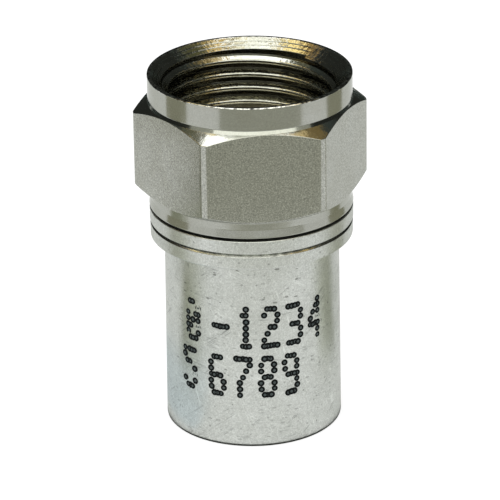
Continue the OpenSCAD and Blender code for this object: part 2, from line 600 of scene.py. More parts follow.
@dataclass(frozen=True)
class InkFinish:
    """Black ink from a dot printer, thin in places so the metal greys it."""

    name: str
    colour: Colour
    thin: Colour
    roughness: float = 0.8
    gloss: float = 0.08

    def material(self) -> Material:
        """Builds the finish.

        Returns:
            The material.
        """
        graph = MaterialGraph(self.name)
        cloud = graph.ramp(graph.noise(Place(graph).flat, scale=5.0), low=0.5, high=0.8)
        feeds = {
            "Base Color": graph.mix(cloud, self.colour, self.thin),
            "Roughness": self.roughness,
            "Specular IOR Level": self.gloss,
        }
        return graph.close("ShaderNodeBsdfPrincipled", feeds)


class Finishes:
    """All the finishes of the connector, as materials that the pieces share."""

    def __init__(self) -> None:
        """Builds every finish."""
        nickel: Colour = (0.360, 0.370, 0.335)
        nickel_stain: Colour = (0.300, 0.300, 0.250)
        tin: Colour = (0.535, 0.555, 0.525)
        tin_stain: Colour = (0.320, 0.335, 0.300)
        around = Grain.AROUND
        nut = {
            NutFace.TURNED: MetalFinish(
                "nickel_turned", nickel, nickel_stain, 0.14, around,
                grain_depth=0.35, mottle=0.30, grit=0.20,
            ),
            NutFace.DRAWN: MetalFinish(
                "nickel_drawn", nickel, nickel_stain, 0.16, Grain.ALONG,
                grain_depth=0.35, grain_scale=7.0, mottle=0.30, grit=0.80,
            ),
            NutFace.CUT: MetalFinish(
                "nickel_cut", (0.50, 0.505, 0.46), nickel_stain, 0.12, around,
                grain_depth=0.7, mottle=0.6, grit=0.25, chatter=12.0,
            ),
            # Painted highlight: the mouth's rim is near-white nickel, broken into glints by near-black
            # patches.
            NutFace.EDGE: MetalFinish(
                "nickel_rim_painted_glints", (0.85, 0.85, 0.80), (0.07, 0.07, 0.065), 0.12, around,
                grain_depth=0.2, mottle=1.0, mottle_scale=4.5, chatter=9.0,
            ),
            # Painted shade: the bore inside the nut is a much darker nickel than the outside.
            NutFace.BORE_PAINTED_SHADE: MetalFinish(
                "nickel_bore_painted_shade", (0.17, 0.17, 0.15), (0.10, 0.095, 0.07), 0.14, around,
                grain_depth=0.5, mottle=0.8,
            ),
            NutFace.CHAMFER: MetalFinish(
                "nickel_chamfer", (0.46, 0.465, 0.43), nickel_stain, 0.13, around,
                grain_depth=0.5, mottle=0.4, grit=0.15, chatter=5.0, chatter_scale=2.2,
            ),
        }
        self.nut = {kind: finish.material() for kind, finish in nut.items()}
        self.tin = MetalFinish(
            "tin_dull", tin, tin_stain, 0.27, Grain.NONE,
            grain_depth=0.4, grain_scale=8.0, mottle=0.15, grit=0.40, pits=0.9, specks=0.7,
            scratches=0.7,
        ).material()
        self.ring_tin = MetalFinish(
            "tin_ring", tin, tin_stain, 0.28, around,
            grain_depth=0.30, grain_scale=8.0, mottle=0.2, pits=0.9, specks=0.6, grit=0.45,
        ).material()
        # Painted shade: the joint line's groove is a darker tin with dark patches, for the shade in the
        # crease between the parts.
        self.groove_painted_shade_tin = MetalFinish(
            "tin_groove_painted_shade", (0.42, 0.43, 0.40), (0.14, 0.145, 0.13), 0.24, around,
            grain_depth=0.25, grain_scale=8.0, mottle=0.9, mottle_scale=1.6,
        ).material()
        self.post = MetalFinish(
            "post_tin", (0.60, 0.575, 0.47), (0.45, 0.40, 0.27), 0.25, around,
            grain_depth=0.3, mottle=0.4,
        ).material()
        self.rubber = RubberFinish(
            "seal_rubber", (0.020, 0.020, 0.020), (0.040, 0.038, 0.036), roughness=0.45
        ).material()
        self.ink = InkFinish("print_ink", (0.008, 0.010, 0.010), (0.026, 0.030, 0.030)).material()
        self.thin_ink = InkFinish(
            "print_ink_thin", (0.110, 0.135, 0.130), (0.220, 0.240, 0.230)
        ).material()


@dataclass
class CrimpSleeve:
    """Crimp sleeve: a thin head, and a barrel that thickens slightly to its rounded rear edge."""

    length: float
    head_r: float
    head_len: float = 0.82
    bore_r: float = 4.10
    front_wall: float = 0.65
    rear_wall: float = 0.725
    rear_round: float = 0.16
    rear_bevel: float = 0.18
    joint_bevel: float = 0.11

    @classmethod
    def from_frame(cls) -> "CrimpSleeve":
        """Takes the length and the head's radius from the frame."""
        low, high = read_box("crimp_sleeve")
        return cls(length=high.z, head_r=high.x)

    @property
    def head_z(self) -> float:
        """Height of the head's rear face."""
        return self.length - self.head_len

    def barrel_r(self, z: float) -> float:
        """Outer radius of the barrel at a height."""
        return self.bore_r + self.rear_wall + (self.front_wall - self.rear_wall) * z / self.head_z

    def face_kind(self, centre: Vector, normal: Vector) -> int:
        """Tells a face's slot: 0 on the barrel, 1 on the head, 2 in the joint line's groove, which is
        painted darker as shade.

        Args:
            centre: The face's centre in millimetres.
            normal: Its direction.

        Returns:
            The slot.
        """
        # The groove's faces get the painted shade finish.
        if centre.z > self.length - self.joint_bevel and normal.z < LEVEL:
            return 2
        return int(centre.z > self.head_z - SLACK)

    def build(self, finishes: Finishes) -> Piece:
        """Builds and dresses the sleeve.

        Args:
            finishes: The connector's finishes.

        Returns:
            The sleeve.
        """
        corners = [
            Corner(self.bore_r + self.rear_bevel, 0.0),
            Corner(self.bore_r + self.rear_wall, 0.0, self.rear_round),
            Corner(self.bore_r + self.front_wall, self.head_z, 0.05),
            Corner(self.head_r, self.head_z, 0.07),
            Corner(self.head_r, self.length - self.joint_bevel, 0.05),
            Corner(self.head_r - self.joint_bevel, self.length, 0.03),
            Corner(self.bore_r, self.length),
            Corner(self.bore_r, self.rear_bevel),
        ]
        piece = turned("sleeve_body", corners)
        dress(piece, (finishes.tin, finishes.ring_tin, finishes.groove_painted_shade_tin), self.face_kind)
        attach(piece, CABLE_END)
        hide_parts("crimp_sleeve")
        return piece


@dataclass
class Hub:
    """Hub: its ring between the nut and the sleeve, and a spigot to either side of the ring."""

    rear_z: float
    front_z: float
    ring_r: float
    ring_z: float
    ring_t: float = 0.82
    bore_r: float = 3.01
    spigot_r: float = 3.43
    tail_r: float = 4.09
    lead: float = 0.35
    joint_bevel: float = 0.11

    @classmethod
    def from_frame(cls, sleeve: CrimpSleeve) -> "Hub":
        """Takes the ends and the ring's radius from the frame, and its height from the sleeve."""
        low, high = read_box("hub")
        return cls(rear_z=low.z, front_z=high.z, ring_r=high.x, ring_z=sleeve.length)

    def face_kind(self, centre: Vector, normal: Vector) -> int:
        """Tells a face's slot: 1 in the joint line's groove, which is painted darker as shade, 0
        elsewhere.
        """
        # The groove's faces get the painted shade finish.
        return int(0.0 < centre.z - self.ring_z < self.joint_bevel and normal.z < -0.1)

    def build(self, finishes: Finishes) -> Piece:
        """Builds and dresses the hub.

        Args:
            finishes: The connector's finishes.

        Returns:
            The hub.
        """
        face_z = self.ring_z + self.ring_t
        corners = [
            Corner(self.bore_r + self.lead, self.rear_z),
            Corner(self.tail_r, self.rear_z, 0.06),
            Corner(self.tail_r, self.ring_z, 0.02),
            Corner(self.ring_r - self.joint_bevel, self.ring_z, 0.03),
            Corner(self.ring_r, self.ring_z + self.joint_bevel, 0.05),
            Corner(self.ring_r, face_z, 0.05),
            Corner(self.spigot_r, face_z, 0.02),
            Corner(self.spigot_r, self.front_z, 0.06),
            Corner(self.bore_r, self.front_z, 0.02),
            Corner(self.bore_r, self.rear_z + self.lead),
        ]
        piece = turned("hub_body", corners)
        dress(piece, (finishes.ring_tin, finishes.groove_painted_shade_tin), self.face_kind)
        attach(piece, CABLE_END)
        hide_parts("hub")
        return piece


@dataclass
class Post:
    """Post: the flange that holds the nut on, the shoulder in the hub, and the toothed tail."""

    rear_z: float
    front_z: float
    flange_r: float
    hub_rear_z: float
    flange_z: float
    bore_r: float = 2.40
    tail_r: float = 2.75
    shoulder_r: float = 3.00
    shoulder_step: float = 0.25
    tooth_count: int = 5
    tooth_pitch: float = 0.62
    tooth_depth: float = 0.13
    tooth_start: float = 0.05
    tooth_foot: float = 0.02
    tooth_ramp: float = 0.75

    @classmethod
    def from_frame(cls, hub: Hub) -> "Post":
        """Takes the ends and the flange's radius from the frame, and the rest from the hub."""
        low, high = read_box("post")
        return cls(low.z, high.z, flange_r=high.x, hub_rear_z=hub.rear_z, flange_z=hub.front_z)

    def build(self, finishes: Finishes) -> Piece:
        """Builds and dresses the post.

        Args:
            finishes: The connector's finishes.

        Returns:
            The post.
        """
        root_r = self.tail_r - self.tooth_depth
        corners = [Corner(self.bore_r, self.rear_z, 0.02), Corner(root_r, self.rear_z, 0.04)]
        for tooth in range(self.tooth_count):
            z = self.rear_z + self.tooth_start + tooth * self.tooth_pitch
            corners.append(Corner(root_r, z + self.tooth_foot, 0.01))
            corners.append(Corner(self.tail_r, z + self.tooth_ramp * self.tooth_pitch, 0.02))
            corners.append(Corner(self.tail_r, z + self.tooth_pitch, 0.01))
        corners += [
            Corner(self.tail_r, self.hub_rear_z, 0.03),
            Corner(self.shoulder_r, self.hub_rear_z + self.shoulder_step, 0.03),
            Corner(self.shoulder_r, self.flange_z, 0.02),
            Corner(self.flange_r, self.flange_z, 0.07),
            Corner(self.flange_r, self.front_z, 0.07),
            Corner(self.bore_r, self.front_z, 0.07),
        ]
        piece = turned("post_body", corners, columns=128)
        dress(piece, (finishes.post,))
        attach(piece, CABLE_END)
        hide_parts("post")
        return piece


@dataclass
class NutSeal:
    """Rubber seal ring in the pocket behind the nut's lip, with a fine moulding line."""

    low_z: float
    high_z: float
    outer_r: float
    line_depth: float = 0.008
    line_reach: float = 0.05
    section_steps: int = 24
    columns: int = 96

    @classmethod
    def from_frame(cls) -> "NutSeal":
        """Takes the ring's size from the frame."""
        low, high = read_box("nut_seal")
        return cls(low_z=low.z, high_z=high.z, outer_r=high.x)

    def build(self, finishes: Finishes) -> Piece:
        """Builds and dresses the seal.

        Args:
            finishes: The connector's finishes.

        Returns:
            The seal.
        """
        section_r = (self.high_z - self.low_z) / 2
        centre_r = self.outer_r - section_r
        centre_z = (self.high_z + self.low_z) / 2
        points: list[Point] = []
        for angle in ring_angles(self.section_steps):
            on_line = abs(math.sin(angle)) <= self.line_reach
            r = centre_r + (section_r - self.line_depth * on_line) * math.cos(angle)
            points.append((r, centre_z + section_r * math.sin(angle)))
        piece = swept_ring("seal_ring", ring_angles(self.columns), lambda angle: points)
        dress(piece, (finishes.rubber,))
        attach(piece, CABLE_END)
        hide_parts("nut_seal")
        return piece


@dataclass
class CouplingNut:
    """Coupling nut: a chamfered hexagon on a turned core, with a collar round its mouth."""

    rear_z: float
    top_z: float
    corner_r: float
    apothem: float
    slope: float = math.tan(math.radians(30))
    skirt_r: float = 5.54
    waist_r: float = 5.46
    skirt_len: float = 0.84
    flare_len: float = 0.45
    hex_corner_len: float = 4.10
    neck_r: float = 5.305
    neck_w: float = 0.08
    root_r: float = 5.44
    root_foot_r: float = 5.53
    collar_r: float = 5.515
    collar_len: float = 1.29
    mouth_r: float = 5.315
    mouth_depth: float = 0.50
    bore_r: float = 4.765
    undercut_r: float = 4.95
    undercut_len: float = 0.90
    undercut_run: float = 0.12
    lip_hole_r: float = 3.50
    lip_t: float = 1.10
    lip_z: float = 13.55
    pocket_r: float = 4.51
    skirt_land: float = 0.06
    root_land: float = 0.03
    corner_blend: float = 0.012
    blend_reach: float = 30.0
    flat_columns: int = 15
    edge_columns: tuple[float, ...] = (-0.020, -0.010, -0.005, 0.0, 0.004, 0.010, 0.018)
    feed_marks: tuple[float, ...] = (0.33, 0.68)
    feed_mark_d: float = 0.016
    feed_mark_w: float = 0.075
    edge_w: float = 0.05

    @classmethod
    def from_frame(cls) -> "CouplingNut":
        """Takes the ends and the hexagon's two sizes from the frame."""
        low, high = read_box("coupling_nut")
        return cls(rear_z=low.z, top_z=high.z, corner_r=high.x, apothem=high.y)

    @property
    def lip_top_z(self) -> float:
        """Height of the lip's front face, where the undercut begins."""
        return self.lip_z + self.lip_t

    @property
    def undercut_top_z(self) -> float:
        """Height at which the undercut's wall ends."""
        return self.lip_top_z + self.undercut_len

    @property
    def mouth_z(self) -> float:
        """Height of the countersink's foot, where the bore begins."""
        return self.top_z - self.mouth_depth

    def hexagon_r(self, angle: float) -> float:
        """Radius of the hexagon with its turned corners, at an angle round the axis.

        Args:
            angle: Angle from +X, in radians.

        Returns:
            The radius in millimetres.
        """
        side = TAU / HEX_SIDES
        flat_r = self.apothem / math.cos((angle % side) - side / 2)
        gap = (flat_r - self.corner_r) / self.corner_blend
        if abs(gap) > self.blend_reach:
            return min(flat_r, self.corner_r)
        return self.corner_r - self.corner_blend * math.log1p(math.exp(-gap))

    def column_angles(self) -> list[float]:
        """Angles of the mesh's columns, closer together where a flat meets its turned corner.

        Returns:
            The angles in radians.
        """
        side = TAU / HEX_SIDES
        edge = math.acos(self.apothem / self.corner_r)
        half = [edge * i / self.flat_columns for i in range(1, self.flat_columns - 1)]
        half += [edge + step for step in self.edge_columns]
        columns = []
        for k in range(HEX_SIDES):
            middle = side / 2 + k * side
            columns += [middle, (k + 1) * side]
            columns += [middle - a for a in half]
            columns += [middle + a for a in half]
        return sorted(a % TAU for a in columns)

    def countersink(self) -> list[Corner]:
        """Corners of the countersink's cone, with the fine grooves that the tool's feed left.

        Returns:
            Corners from the mouth down to the bore.
        """
        run = Vector((self.bore_r - self.mouth_r, -self.mouth_depth))
        into_metal = Vector((self.mouth_depth, self.bore_r - self.mouth_r)).normalized()
        half = self.feed_mark_w / 2 / run.length
        corners = []
        for share in self.feed_marks:
            for step, depth in ((-half, 0.0), (0.0, self.feed_mark_d), (half, 0.0)):
                spot = Vector((self.mouth_r, self.top_z)) + run * (share + step) + into_metal * depth
                corners.append(Corner(spot.x, spot.y, 0.006))
        return corners

    def profile(self, angle: float) -> list[Point]:
        """Profile of the nut at an angle round the axis.

        Args:
            angle: Angle from +X, in radians.

        Returns:
            Points of the closed profile.
        """
        hex_r = self.hexagon_r(angle)
        low_corner_z = self.rear_z + self.skirt_len + (self.corner_r - self.waist_r) * self.slope
        high_corner_z = low_corner_z + self.hex_corner_len
        cut_back = (self.corner_r - hex_r) * self.slope
        collar_z = self.top_z - self.collar_len
        root_z = collar_z - self.neck_w - (self.root_foot_r - self.neck_r) * self.slope
        return rounded_profile(
            [
                Corner(self.pocket_r, self.rear_z),
                Corner(self.skirt_r, self.rear_z, 0.035),
                Corner(self.skirt_r, self.rear_z + self.skirt_land, 0.05),
                Corner(self.waist_r, self.rear_z + self.flare_len, 0.14),
                Corner(self.waist_r, self.rear_z + self.skirt_len, 0.03),
                Corner(hex_r, low_corner_z - cut_back, 0.035),
                Corner(hex_r, high_corner_z + cut_back, 0.035),
                Corner(self.root_foot_r, root_z, 0.01),
                Corner(self.root_r, collar_z - self.root_land, 0.01),
                Corner(self.root_r, collar_z, 0.01),
                Corner(self.collar_r, collar_z, 0.04),
                Corner(self.collar_r, self.top_z, 0.06),
                Corner(self.mouth_r, self.top_z, 0.035),
                *self.countersink(),
                Corner(self.bore_r, self.mouth_z, 0.03),
                Corner(self.bore_r, self.undercut_top_z + self.undercut_run, 0.03),
                Corner(self.undercut_r, self.undercut_top_z, 0.03),
                Corner(self.undercut_r, self.lip_top_z, 0.06),
                Corner(self.lip_hole_r, self.lip_top_z, 0.04),
                Corner(self.lip_hole_r, self.lip_z, 0.04),
                Corner(self.pocket_r, self.lip_z, 0.05),
            ]
        )

    def face_kind(self, centre: Vector, normal: Vector) -> NutFace:
        """Tells a face's kind: how it was made, or the painted highlight of the rim and the painted
        shade of the bore.

        Args:
            centre: The face's centre in millimetres.
            normal: Its direction.

        Returns:
            The kind of face.
        """
        radius = math.hypot(centre.x, centre.y)
        if abs(normal.z) < UPRIGHT and radius > max(self.apothem - SLACK, self.collar_r + SLACK):
            return NutFace.DRAWN
        # The rim at the mouth takes the painted highlight finish.
        if centre.z > self.top_z - self.edge_w:
            return NutFace.EDGE
        if UPRIGHT < normal.z < LEVEL and radius > self.root_foot_r:
            return NutFace.CHAMFER
        if centre.z > self.mouth_z - 0.03 and radius < self.mouth_r:
            return NutFace.CUT
        # The bore takes the painted shade finish.
        if centre.z > self.lip_z and radius < self.undercut_r + 0.02:
            return NutFace.BORE_PAINTED_SHADE
        return NutFace.TURNED

    def build(self, finishes: Finishes) -> Piece:
        """Builds and dresses the nut: drawn grain on the hexagon's flats, turned grain elsewhere.

        Args:
            finishes: The connector's finishes.

        Returns:
            The nut.
        """
        piece = swept_ring("nut_body", self.column_angles(), self.profile)
        dress(piece, [finishes.nut[kind] for kind in NutFace], self.face_kind)
        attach(piece, NUT)
        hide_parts("coupling_nut")
        return piece


class GeometryRecipe(NodeGraph):
    """A Geometry Nodes tree with named inputs, run once into a plain mesh."""

    def __init__(self, name: str) -> None:
        """Starts an empty tree.

        Args:
            name: Name of the tree.
        """
        super().__init__(bpy.data.node_groups.new(name, "GeometryNodeTree"))
        for side in ("INPUT", "OUTPUT"):
            self.tree.interface.new_socket("Geometry", in_out=side, socket_type="NodeSocketGeometry")
        self.entry = self.add("NodeGroupInput")
        self.values: dict[str, object] = {}

    def size(self, name: str, value: float) -> Socket:
        """Adds a named size to the tree.

        Args:
            name: Name of the input.
            value: Value that the modifier gives it.

        Returns:
            The input's socket inside the tree.
        """
        kind = "NodeSocketInt" if isinstance(value, int) else "NodeSocketFloat"
        socket = self.tree.interface.new_socket(name, in_out="INPUT", socket_type=kind)
        self.values[socket.identifier] = value
        return self.entry.outputs[name]

    def close(self, geometry: Socket, material: Material) -> None:
        """Ends the tree in Realize Instances and Set Material.

        Args:
            geometry: The tree's geometry so far.
            material: Material of the result.
        """
        real = self.add("GeometryNodeRealizeInstances", {0: geometry})
        feeds = {"Geometry": real.outputs[0], "Material": material}
        dressed = self.add("GeometryNodeSetMaterial", feeds)
        self.add("NodeGroupOutput", {0: dressed.outputs[0]})

    def run(self, name: str, base: bpy.types.Mesh) -> Piece:
        """Runs the tree on a base mesh and keeps the result as a plain mesh.

        Args:
            name: Name of the new object.
            base: Mesh that the tree starts from.

        Returns:
            The object with the plain mesh and no modifier.
        """
        piece = new_piece(name, base)
        modifier = piece.modifiers.new("recipe", "NODES")
        modifier.node_group = self.tree
        for identifier, value in self.values.items():
            modifier[identifier] = value
        bpy.context.view_layer.update()
        graph = bpy.context.evaluated_depsgraph_get()
        mesh = bpy.data.meshes.new_from_object(piece.evaluated_get(graph))
        piece.modifiers.remove(modifier)
        piece.data = mesh
        mesh.name = name
        return piece


@dataclass
class NutThread:
    """Right-hand internal thread of the nut: one helical ridge on the wall of the bore."""

    nut: CouplingNut
    pitch: float = 0.79375
    depth: float = 0.40
    crest_w: float = 0.18
    crest_round: float = 0.12
    crest_steps: int = 6
    root_gap: float = 0.09
    sink: float = 0.03
    bury: float = 0.012
    overlap_low: float = 0.05
    overlap_high: float = 0.12
    run_out_len: float = 0.10
    run_out_slope: float = 1.2
    run_out_depth: float = 0.15
    steps_per_turn: int = 96

    def _ridge(self, recipe: GeometryRecipe) -> Socket:
        """Sweeps the ridge's section along a helix.

        Args:
            recipe: The tree that the nodes go into.

        Returns:
            The ridge's geometry.
        """
        low = self.nut.undercut_top_z + self.overlap_low
        length = self.nut.mouth_z + self.overlap_high - low
        steps = recipe.size("Steps per turn", self.steps_per_turn)
        turns = recipe.size("Turns", length / self.pitch)
        radius = recipe.size("Root radius", (self.nut.bore_r + self.sink) * MM)
        line = recipe.add(
            "GeometryNodeCurveSpiral",
            {
                "Resolution": steps,
                "Rotations": turns,
                "Start Radius": radius,
                "End Radius": radius,
                "Height": recipe.size("Thread length", length * MM),
                "Reverse": True,
            },
        )
        lift = recipe.vector(0.0, 0.0, recipe.size("Start height", low * MM))
        raised = recipe.add("GeometryNodeSetPosition", {"Geometry": line.outputs[0], "Offset": lift})
        upright = recipe.add("GeometryNodeSetCurveNormal", {0: raised.outputs[0]}, mode="Z_UP")
        inward = recipe.times(recipe.size("Ridge height", (self.depth + self.sink) * MM), -1.0)
        foot = recipe.size("Half width at the root", (self.pitch - self.root_gap) / 2 * MM)
        crest = recipe.size("Half width at the crest", self.crest_w / 2 * MM)
        corners = ((0.0, foot, 1.0), (inward, crest, 1.0), (inward, crest, -1.0), (0.0, foot, -1.0))
        points = {}
        for number, (across, half, sign) in enumerate(corners, 1):
            points[f"Point {number}"] = recipe.vector(across, recipe.times(half, sign), 0.0)
        section = recipe.add("GeometryNodeCurvePrimitiveQuadrilateral", points, mode="POINTS")
        rounded = recipe.add(
            "GeometryNodeFilletCurve",
            {
                "Curve": section.outputs[0],
                "Radius": recipe.size("Crest rounding", self.crest_round * MM),
                "Limit Radius": True,
                "Count": self.crest_steps,
            },
            mode="POLY",
        )
        feeds = {"Curve": upright.outputs[0], "Profile Curve": rounded.outputs[0], "Fill Caps": True}
        return recipe.add("GeometryNodeCurveToMesh", feeds).outputs[0]

    def _chamfered(self, recipe: GeometryRecipe, geometry: Socket) -> Socket:
        """Cuts the ridge back to the countersink above and to a run-out below.

        Args:
            recipe: The tree that the nodes go into.
            geometry: The ridge.

        Returns:
            The cut ridge.
        """
        nut = self.nut
        x, y, z = recipe.parts(recipe.add("GeometryNodeInputPosition").outputs[0])
        radius = recipe.hypot(x, y)
        bury = recipe.size("Depth under the surface", self.bury * MM)
        above = recipe.minus(z, recipe.size("Mouth height", nut.mouth_z * MM))
        wall = recipe.size("Bore radius", nut.bore_r * MM)
        flare = recipe.size("Countersink slope", (nut.mouth_r - nut.bore_r) / nut.mouth_depth)
        cone = recipe.plus(wall, recipe.times(above, flare))
        foot_z = recipe.size("Run-out height", (nut.undercut_top_z + self.run_out_len) * MM)
        slope = recipe.size("Run-out slope", self.run_out_slope)
        run_out = recipe.plus(wall, recipe.times(recipe.minus(foot_z, z), slope))
        deepest = recipe.size("Deepest run-out", (nut.bore_r + self.run_out_depth) * MM)
        run_out = recipe.math("MINIMUM", run_out, deepest)
        limit = recipe.plus(recipe.math("MAXIMUM", cone, run_out), bury)
        factor = recipe.math("DIVIDE", recipe.math("MAXIMUM", radius, limit), radius)
        moved = recipe.vector(recipe.times(x, factor), recipe.times(y, factor), z)
        feeds = {"Geometry": geometry, "Position": moved}
        return recipe.add("GeometryNodeSetPosition", feeds).outputs[0]

    def build(self, finishes: Finishes) -> Piece:
        """Builds and dresses the thread.

        Args:
            finishes: The connector's finishes.

        Returns:
            The thread.
        """
        recipe = GeometryRecipe("nut_thread_recipe")
        recipe.close(self._chamfered(recipe, self._ridge(recipe)), finishes.nut[NutFace.CUT])
        piece = recipe.run("nut_thread", bpy.data.meshes.new("nut_thread_base"))
        face_outwards(piece.data, weld=True)
        piece.data.shade_flat()
        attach(piece, NUT)
        return piece


@dataclass
class BarrelPrint:
    """Two lines of counting digits that a dot printer left on the barrel."""

    sleeve: CrimpSleeve
    lines: tuple[str, ...] = ("0-1234", "56789")
    centres: tuple[tuple[float, ...], ...] = (
        (-4.15, -2.42, -0.99, 0.36, 1.74, 3.12),
        (-4.45, -2.63, -1.18, 0.16, 1.48),
    )
    line_tops: tuple[float, ...] = (8.18, 5.26)
    dot_d: float = 0.370
    centre_d: float = 0.150
    dot_sides: int = 12
    dot_range: tuple[float, float] = (0.92, 1.08)
    column_pitch: float = 0.180
    middle_column: int = 2
    row_pitch: float = 0.360
    ink_t: float = 0.010
    centre_step: float = 0.002
    shake: float = 0.020
    seed: int = 7

    GLYPHS: ClassVar[dict[str, str]] = {
        "0": "01110 10001 10011 10101 11001 10001 01110",
        "1": "00100 01100 00100 00100 00100 00100 01110",
        "2": "01110 10001 00001 00110 01000 10000 11111",
        "3": "11110 00001 00001 01110 00001 00001 11110",
        "4": "00010 00110 01010 10010 11111 00010 00010",
        "5": "11111 10000 11110 00001 00001 10001 01110",
        "6": "01110 10000 10000 11110 10001 10001 01110",
        "7": "11111 00001 00010 00100 01000 01000 01000",
        "8": "01110 10001 10001 01110 10001 10001 01110",
        "9": "01110 10001 10001 01111 00001 00001 01110",
        "-": "00000 00000 00000 11111 00000 00000 00000",
    }

    def _dots(self) -> bpy.types.Mesh:
        """Places one vertex on the barrel for each dot.

        Returns:
            A mesh of loose vertices.
        """
        spots: list[tuple[float, float, float]] = []
        for line, centres, top in zip(self.lines, self.centres, self.line_tops):
            for letter, centre in zip(line, centres):
                for row, bits in enumerate(self.GLYPHS[letter].split()):
                    z = top - row * self.row_pitch
                    r = self.sleeve.barrel_r(z)
                    for column, bit in enumerate(bits):
                        if bit == "1":
                            along = centre + (column - self.middle_column) * self.column_pitch
                            angle = along / r - TAU / 4
                            spots.append((r * math.cos(angle) * MM, r * math.sin(angle) * MM, z * MM))
        mesh = bpy.data.meshes.new("print_spots")
        mesh.from_pydata(spots, [], [])
        return mesh

    def _spread(self, name: str, diameter: float, thickness: float, material: Material) -> Piece:
        """Spreads one small flat disc over each spot.

        Args:
            name: Name of the new object.
            diameter: Diameter of a disc in millimetres.
            thickness: Height of a disc above the barrel, in millimetres.
            material: Material of the discs.

        Returns:
            The discs as one piece.
        """
        recipe = GeometryRecipe(f"{name}_recipe")
        feeds = {
            "Vertices": self.dot_sides,
            "Radius": recipe.size("Dot radius", diameter / 2 * MM),
            "Depth": recipe.size("Ink thickness", 2 * thickness * MM),
        }
        dot = recipe.add("GeometryNodeMeshCylinder", feeds)
        place = recipe.add("GeometryNodeInputPosition")
        feeds = {0: place.outputs[0], 1: (1.0, 1.0, 0.0)}
        flat = recipe.add("ShaderNodeVectorMath", feeds, operation="MULTIPLY")
        aim = recipe.add("FunctionNodeAlignRotationToVector", {"Vector": flat.outputs[0]}, axis="Z")
        seed = recipe.size("Seed", self.seed)
        least, most = self.dot_range
        feeds = {2: least, 3: most, "Seed": seed}
        size = recipe.add("FunctionNodeRandomValue", feeds, data_type="FLOAT")
        reach = self.shake * MM
        feeds = {0: (-reach, 0.0, -reach), 1: (reach, 0.0, reach), "Seed": seed}
        shake = recipe.add("FunctionNodeRandomValue", feeds, data_type="FLOAT_VECTOR")
        feeds = {"Geometry": recipe.entry.outputs["Geometry"], "Offset": shake.outputs[0]}
        nudged = recipe.add("GeometryNodeSetPosition", feeds)
        feeds = {
            "Points": nudged.outputs[0],
            "Instance": dot.outputs[0],
            "Rotation": aim.outputs[0],
            "Scale": size.outputs[1],
        }
        recipe.close(recipe.add("GeometryNodeInstanceOnPoints", feeds).outputs[0], material)
        piece = recipe.run(name, self._dots())
        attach(piece, CABLE_END)
        return piece

    def build(self, finishes: Finishes) -> list[Piece]:
        """Builds and dresses the print: dots of thick ink, each with a thinner centre.

        Args:
            finishes: The connector's finishes.

        Returns:
            The dots and their centres.
        """
        centre_t = self.ink_t + self.centre_step
        return [
            self._spread("barrel_print", self.dot_d, self.ink_t, finishes.ink),
            self._spread("print_centres", self.centre_d, centre_t, finishes.thin_ink),
        ]


@dataclass(frozen=True)
class Card:
    """A grey studio card that only reflections see: a patch of a sphere round the connector.

    Its low and high edges are heights in degrees. Turns are in degrees from the camera's side.
    """

    name: str
    turns: tuple[float, float]
    low: float
    high: float
    tone: Colour

    CENTRE_Z: ClassVar[float] = 15.0
    DISTANCE: ClassVar[float] = 160.0

    def spot(self, level: float) -> Point:
        """Distance from the axis and height of a line on the card, in millimetres."""
        rise = math.radians(level)
        return self.DISTANCE * math.cos(rise), self.CENTRE_Z + self.DISTANCE * math.sin(rise)

    def turns_at(self, share: float) -> tuple[float, float]:
        """Turns of the card's two sides at a share of the way from its low to its high edge."""
        return self.turns


@dataclass(frozen=True)
class FloorCard(Card):
    """A studio card just above the floor, with its edges in millimetres from the axis."""

    far_turns: tuple[float, float]
    lift: float = 0.02

    def spot(self, level: float) -> Point:
        """Distance from the axis and height of a line on the card, in millimetres."""
        return level, self.lift

    def turns_at(self, share: float) -> tuple[float, float]:
        """Turns of the card's two sides at a share of the way from its near to its far edge."""
        return tuple(near + (far - near) * share for near, far in zip(self.turns, self.far_turns))


